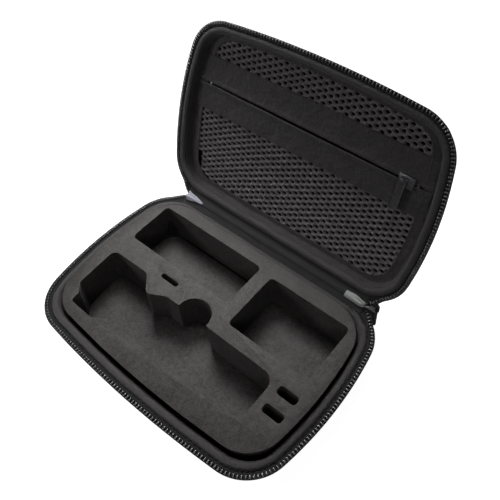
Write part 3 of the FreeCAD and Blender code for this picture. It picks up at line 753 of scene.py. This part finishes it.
def hinge_strip(name, node_names, radius, leg, start_turn, end_turn, wall=0.5):
    """Cloth that leaves the base's wall, runs round the hinge's axis, and joins the lid's wall.

    leg is (y given shut, depth, how far it follows the wall round the corner) from wall to axis.
    """
    half_length, bend_steps, rows_across = 68.0, 13, 42
    x = np.linspace(-half_length, half_length, 114)
    corner_drop = CASE["back"] - RIM.back_edge(x)
    legs = [np.stack([place(x, y - corner_drop * follows, depth, on_lid)
                      for y, depth, follows in leg], axis=1) for on_lid in (False, True)]
    arc = np.array([turned(radius, degrees)
                    for degrees in np.linspace(start_turn, end_turn, bend_steps)])
    bend = np.stack(np.broadcast_arrays(x[:, None], arc[:, 0], arc[:, 1]), axis=-1)
    rows = np.concatenate([legs[0], bend, legs[1][:, ::-1]], axis=1)
    points = []
    for place_x, row in zip(x, rows):
        travel = np.concatenate([[0], np.cumsum(np.linalg.norm(np.diff(row, axis=0), axis=1))])
        fine = np.linspace(0, travel[-1], rows_across)
        smooth = np.column_stack([np.interp(fine, travel, column) for column in row.T])
        smooth[:, 2] += 0.14 * ripple(place_x * 2.0 + 0 * fine, fine * 9 + place_x * 0.7)
        points.append(smooth)
    piece = add_mesh(name, points, grid_faces(len(x), rows_across))
    solidify(piece, wall)
    finish_piece(piece, HINGE_CLOTH, None)
    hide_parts(*node_names)
    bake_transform(piece)


def hinge_pieces():
    back = CASE["back"]
    lid_turn = 180 - math.degrees(OPEN)
    hinge_strip("hinge_cloth_inner", ["hinge_fold"], 2.0,
                [(back - 4.0, 2.1, 1.0), (back - 3.2, 1.9, 1.0), (back - 1.8, 1.2, 0.7)],
                176, lid_turn + 4)
    hinge_strip("hinge_cloth_outer", ["hinge_leaf_base", "hinge_leaf_lid"], 2.55,
                [(back - 4.7, 8.0, 1.0), (back - 3.4, 4.2, 0.9)],
                -118, 118 - math.degrees(OPEN))


def hinge_tab(label):
    """A pale patch folded over an end of the hinge: the left widens outwards, the right inwards."""
    low, high = [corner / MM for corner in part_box(f"hinge_tab_{label}")]
    outer, inner = (low.x - 1.0, high.x - 3.5) if label == "left" else (high.x + 1.0, low.x + 3.5)
    rows, columns = 26, 29
    along = np.linspace(0, 1, rows)[:, None]
    across = np.linspace(-1, 1, columns)[None, :]
    middle = math.pi - OPEN / 2
    width = along ** 0.8 if label == "left" else 1 - 0.75 * along ** 2
    spread = math.radians(1) * (9 + 50 * width)
    turn = middle - across * spread + 0.06 * np.sin(along * 9 + 1)
    folds = np.cos(across * 7.5 + along * 2) + 0.6 * np.cos(across * 17 - along * 3)
    radius = 2.45 + 1.0 * along + 0.34 * along * folds - 0.5 * np.abs(across) ** 6
    x = inner + (outer - inner) * along + 0 * across + 0.5 * np.sin(across * 4) * along
    points = np.stack([x, HINGE_Y + radius * np.cos(turn), ZIP_Z + radius * np.sin(turn)], axis=-1)
    piece = add_mesh(f"pale_tab_{label}", points, grid_faces(rows, columns))
    solidify(piece, 0.4)
    # the tab takes the lit or the shaded copy of the pale cloth by its side: painted light, not a
    # real difference in colour
    finish_piece(piece, PALE_CLOTH_PAINTED_LIT_AND_SHADE[label], None)
    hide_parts(f"hinge_tab_{label}")
    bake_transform(piece)


# ---------------------------------------------------------------- everything else

def cad_pieces():
    """CAD nodes whose shape is right keep it, and get their materials."""
    for node_name, material in (("base_shell", SHELL_CLOTH), ("lid_shell", SHELL_CLOTH),
                                ("base_lining", LINING_CLOTH), ("lid_lining", LINING_CLOTH),
                                ("foam_floor", FOAM)):
        mesh = frame["nodes"][node_name].data
        mesh.materials.clear()
        mesh.materials.append(material)
    insert = soft_copy("foam_insert", "foam_block", 0.55)
    finish_piece(insert, FOAM, "base")


def sliders():
    for zip_name, body, material in (("pocket", "pocket_slider", BLACK_METAL),
                                     ("main", "base", DULL_METAL)):
        slider = soft_copy(f"{zip_name}_slider", f"{zip_name}_slider_body", 0.22)
        finish_piece(slider, material, body)
        pull = soft_copy(f"{zip_name}_pull", f"{zip_name}_pull_tab", 0.12, recess=(0.7, 0.2))
        finish_piece(pull, material, f"{zip_name}_pull")


def stage():
    """A pale floor, soft studio light and the camera."""
    bpy.context.scene.view_settings.view_transform = "Standard"
    low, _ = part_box("base_shell")
    reach = 4
    mesh = bpy.data.meshes.new("floor")
    mesh.from_pydata([(-reach, -reach, low.z), (reach, -reach, low.z), (reach, reach, low.z),
                      (-reach, reach, low.z)], [], [(0, 1, 2, 3)])
    floor = bpy.data.objects.new("floor", mesh)
    bpy.context.scene.collection.objects.link(floor)
    mesh.materials.append(new_material("pale_floor", Base_Color=(0.4, 0.4, 0.4, 1), Roughness=0.9,
                                       Emission_Color=(1, 1, 1, 1), Emission_Strength=0.92))
    floor.visible_diffuse = floor.visible_glossy = False

    world = bpy.data.worlds.new("studio")
    world.use_nodes = True
    # the camera sees it white, and the case is lit by it only a little
    nodes, links = world.node_tree.nodes, world.node_tree.links
    nodes["Background"].inputs["Color"].default_value = (1, 1, 1, 1)
    seen = nodes.new("ShaderNodeLightPath").outputs["Is Camera Ray"]
    strength = nodes.new("ShaderNodeMapRange")
    strength.inputs["To Min"].default_value = 0.10
    links.new(seen, strength.inputs["Value"])
    links.new(strength.outputs["Result"], nodes["Background"].inputs["Strength"])
    bpy.context.scene.world = world

    middle = (0, 0.02, 0.03)
    for name, place_m, aim_m, size, spread, power in (
            ("key", (-0.17, 0.19, 0.34), (-0.04, 0.06, 0.03), 0.18, 52, 0.37),
            ("top", (-0.1, 0.2, 1.0), middle, 0.3, 180, 2.2),
            ("fill", (0.45, -0.5, 0.5), middle, 0.3, 180, 1.2),
            ("edge", (-0.35, -0.25, 0.22), middle, 0.12, 180, 0.8)):
        light = bpy.data.lights.new(name, "AREA")
        light.size = size
        light.spread = math.radians(spread)
        light.energy = power
        lamp = bpy.data.objects.new(name, light)
        lamp.location = place_m
        lamp.rotation_mode = "QUATERNION"
        lamp.rotation_quaternion = (Vector(aim_m) - Vector(place_m)).to_track_quat("-Z", "Y")
        bpy.context.scene.collection.objects.link(lamp)

    camera = bpy.data.objects.new("camera", bpy.data.cameras.new("camera"))
    bpy.context.scene.collection.objects.link(camera)
    azimuth, elevation, roll = [math.radians(value) for value in (43.76, 48.15, -4.85)]
    back = Vector((math.sin(azimuth) * math.cos(elevation),
                   -math.cos(azimuth) * math.cos(elevation), math.sin(elevation)))
    right = Vector((math.cos(azimuth), math.sin(azimuth), 0))
    up = right.cross(-back)
    turned_right = right * math.cos(roll) + up * math.sin(roll)
    turned_up = up * math.cos(roll) - right * math.sin(roll)
    matrix = Matrix((turned_right, turned_up, back)).transposed().to_4x4()
    matrix.translation = Vector((152.33, -115.0, ZIP_Z + 300.2)) * MM
    camera.matrix_world = matrix
    camera.data.sensor_width = 36
    camera.data.lens = 45.15
    camera.data.shift_y = -0.1
    camera.data.clip_start, camera.data.clip_end = 0.01, 20
    bpy.context.scene.camera = camera


stage()
cad_pieces()
for side_name, is_lid in (("base", False), ("lid", True)):
    rim_pieces(side_name, is_lid)
border_cloth()
net_field("pocket_net_upper", "pocket_mesh_upper", -51.8, BAND_FRONT + NET_OVERLAP)
net_field("pocket_net_lower", "pocket_mesh_lower", BAND_BACK - NET_OVERLAP, 46.5)
band("pocket_band_upper", "pocket_tape_upper", BAND_FRONT, -1)
band("pocket_band_lower", "pocket_tape_lower", BAND_BACK, 1)
pocket_zip()
hinge_pieces()
for end_name in ("left", "right"):
    hinge_tab(end_name)
sliders()

bpy.context.view_layer.update()
